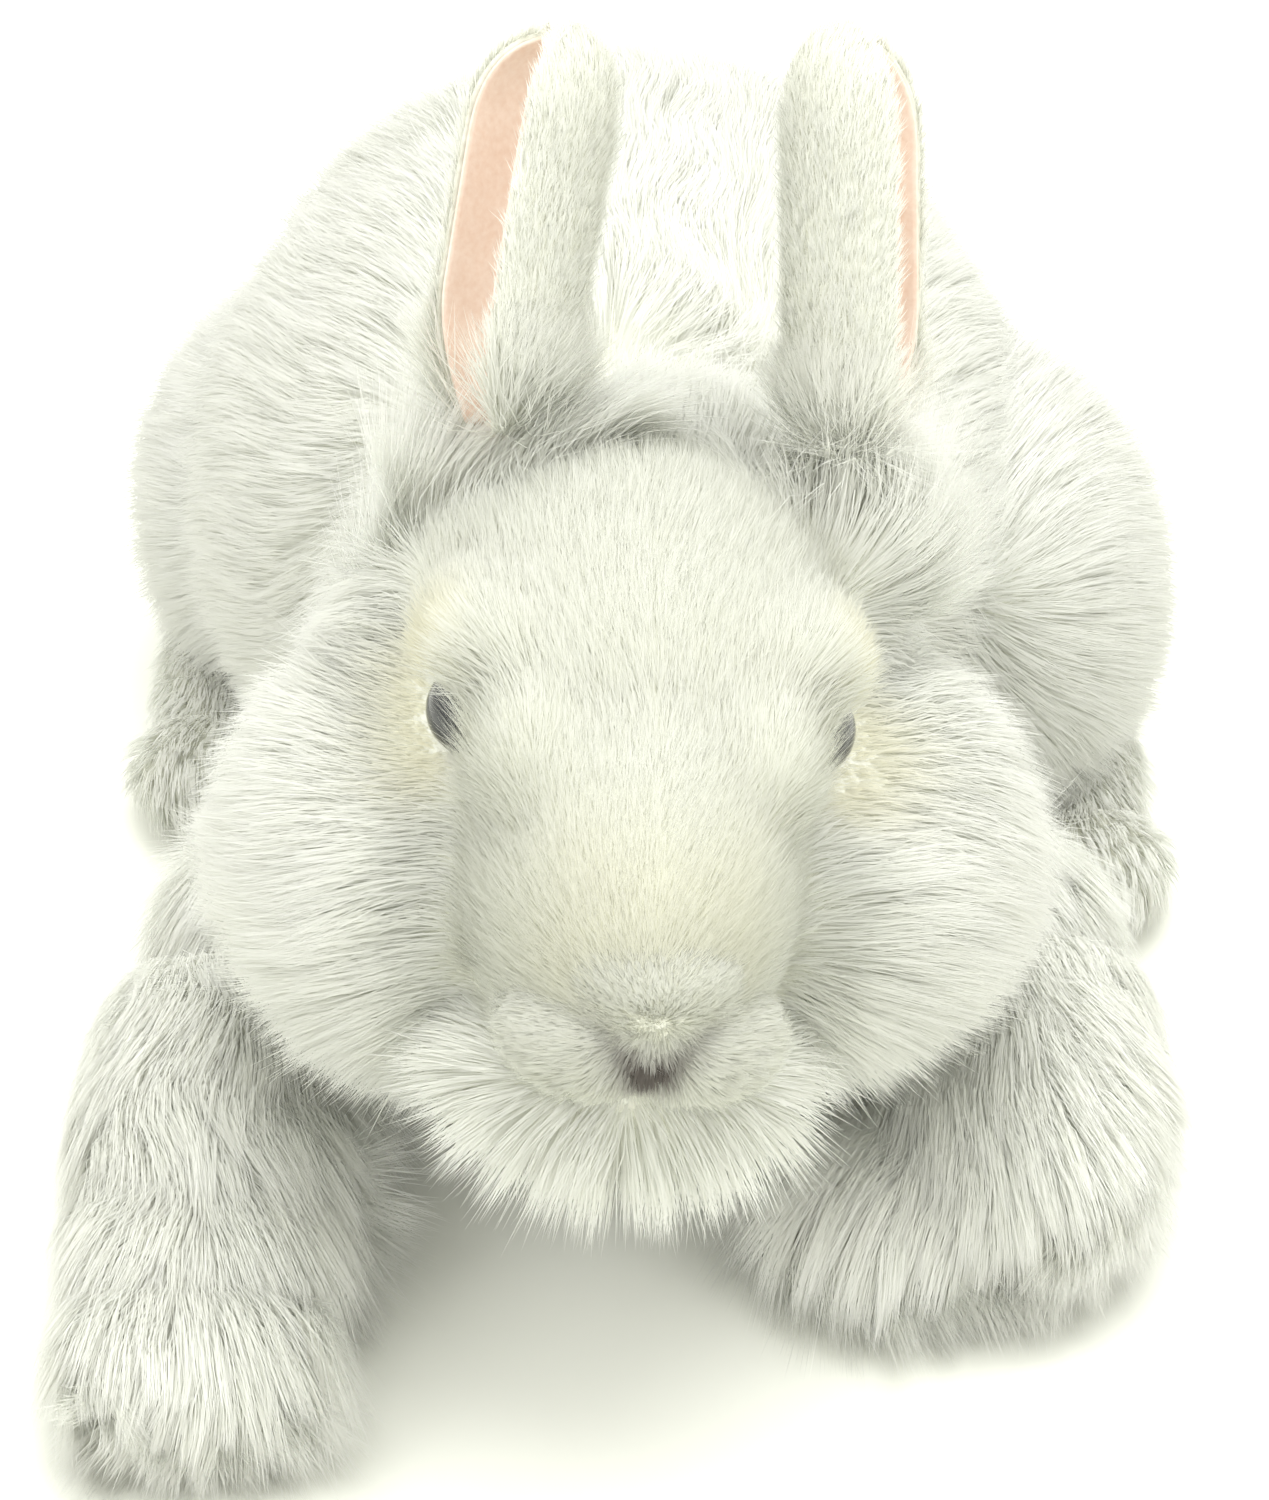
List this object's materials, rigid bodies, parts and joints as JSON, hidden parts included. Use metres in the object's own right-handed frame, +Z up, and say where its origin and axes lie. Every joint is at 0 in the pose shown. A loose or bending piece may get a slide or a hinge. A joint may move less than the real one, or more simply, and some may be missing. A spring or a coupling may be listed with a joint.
{
  "type": "plush rabbit",
  "caption": "Lying long-pile plush rabbit with upright lined ears; stuffed torso, head, legs and tail are separate sewn pieces that bend at the neck, ears, shoulders and tail.",
  "frame": {"origin": "middle of the footprint on the surface that the toy lies on", "axes": "+Z up, +Y from the nose to the tail, +X to the viewer's right from the front"},
  "size_m": [0.173, 0.294, 0.1646],
  "materials": {
    "long_fur": "long white acrylic pile, combed, 15 to 20 mm",
    "short_fur": "short white acrylic pile, 3 to 6 mm",
    "ear_lining": "peach-pink velour",
    "stuffing": "polyester fibre filling",
    "eye_plastic": "polished moulded plastic",
    "washer_plastic": "natural moulded plastic"
  },
  "bodies": {
    "torso": {"body_cover": "long_fur", "belly_panel": "short_fur", "body_stuffing": "stuffing", "haunch_left_cover": "long_fur", "haunch_left_stuffing": "stuffing", "hind_foot_left_cover": "short_fur", "hind_foot_left_stuffing": "stuffing", "haunch_right_cover": "long_fur", "haunch_right_stuffing": "stuffing", "hind_foot_right_cover": "short_fur", "hind_foot_right_stuffing": "stuffing"},
    "neck": {"neck_stuffing": "stuffing"},
    "head": {"head_cover": "long_fur", "head_stuffing": "stuffing", "muzzle_cover": "short_fur", "muzzle_stuffing": "stuffing", "eye_left": "eye_plastic", "eye_left_washer": "washer_plastic", "eye_right": "eye_plastic", "eye_right_washer": "washer_plastic"},
    "ear_left": {"ear_left_back": "short_fur", "ear_left_lining": "ear_lining"},
    "ear_right": {"ear_right_back": "short_fur", "ear_right_lining": "ear_lining"},
    "foreleg_left": {"foreleg_left_cover": "long_fur", "foreleg_left_stuffing": "stuffing"},
    "foreleg_right": {"foreleg_right_cover": "long_fur", "foreleg_right_stuffing": "stuffing"},
    "tail": {"tail_cover": "long_fur", "tail_stuffing": "stuffing"}
  },
  "joints": [
    {"name": "neck_turn", "type": "hinge", "parent": "torso", "child": "neck", "pos_m": [-0.00306, -0.049, 0.07], "axis": [0, 0, 1], "range_deg": [-12, 12], "stiffness_Nm_per_rad": 1.5},
    {"name": "head_nod", "type": "hinge", "parent": "neck", "child": "head", "pos_m": [-0.00306, -0.049, 0.07], "axis": [1, 0, 0], "range_deg": [-12, 3], "stiffness_Nm_per_rad": 2, "springref_deg": -2.01},
    {"name": "ear_left_fold", "type": "hinge", "parent": "head", "child": "ear_left", "pos_m": [-0.01927, -0.06066, 0.11692], "axis": [1, 0, 0], "range_deg": [-25, 15], "stiffness_Nm_per_rad": 0.03},
    {"name": "ear_right_fold", "type": "hinge", "parent": "head", "child": "ear_right", "pos_m": [0.02808, -0.05648, 0.11027], "axis": [1, 0, 0], "range_deg": [-25, 15], "stiffness_Nm_per_rad": 0.03},
    {"name": "foreleg_left_splay", "type": "hinge", "parent": "torso", "child": "foreleg_left", "pos_m": [-0.05606, -0.052, 0.0215], "axis": [0, 0, 1], "range_deg": [-30, 5], "stiffness_Nm_per_rad": 0.5},
    {"name": "foreleg_right_splay", "type": "hinge", "parent": "torso", "child": "foreleg_right", "pos_m": [0.05394, -0.052, 0.0215], "axis": [0, 0, 1], "range_deg": [-5, 30], "stiffness_Nm_per_rad": 0.5},
    {"name": "tail_lift", "type": "hinge", "parent": "torso", "child": "tail", "pos_m": [-0.00406, 0.126, 0.044], "axis": [1, 0, 0], "range_deg": [-15, 25], "stiffness_Nm_per_rad": 0.05}
  ]
}
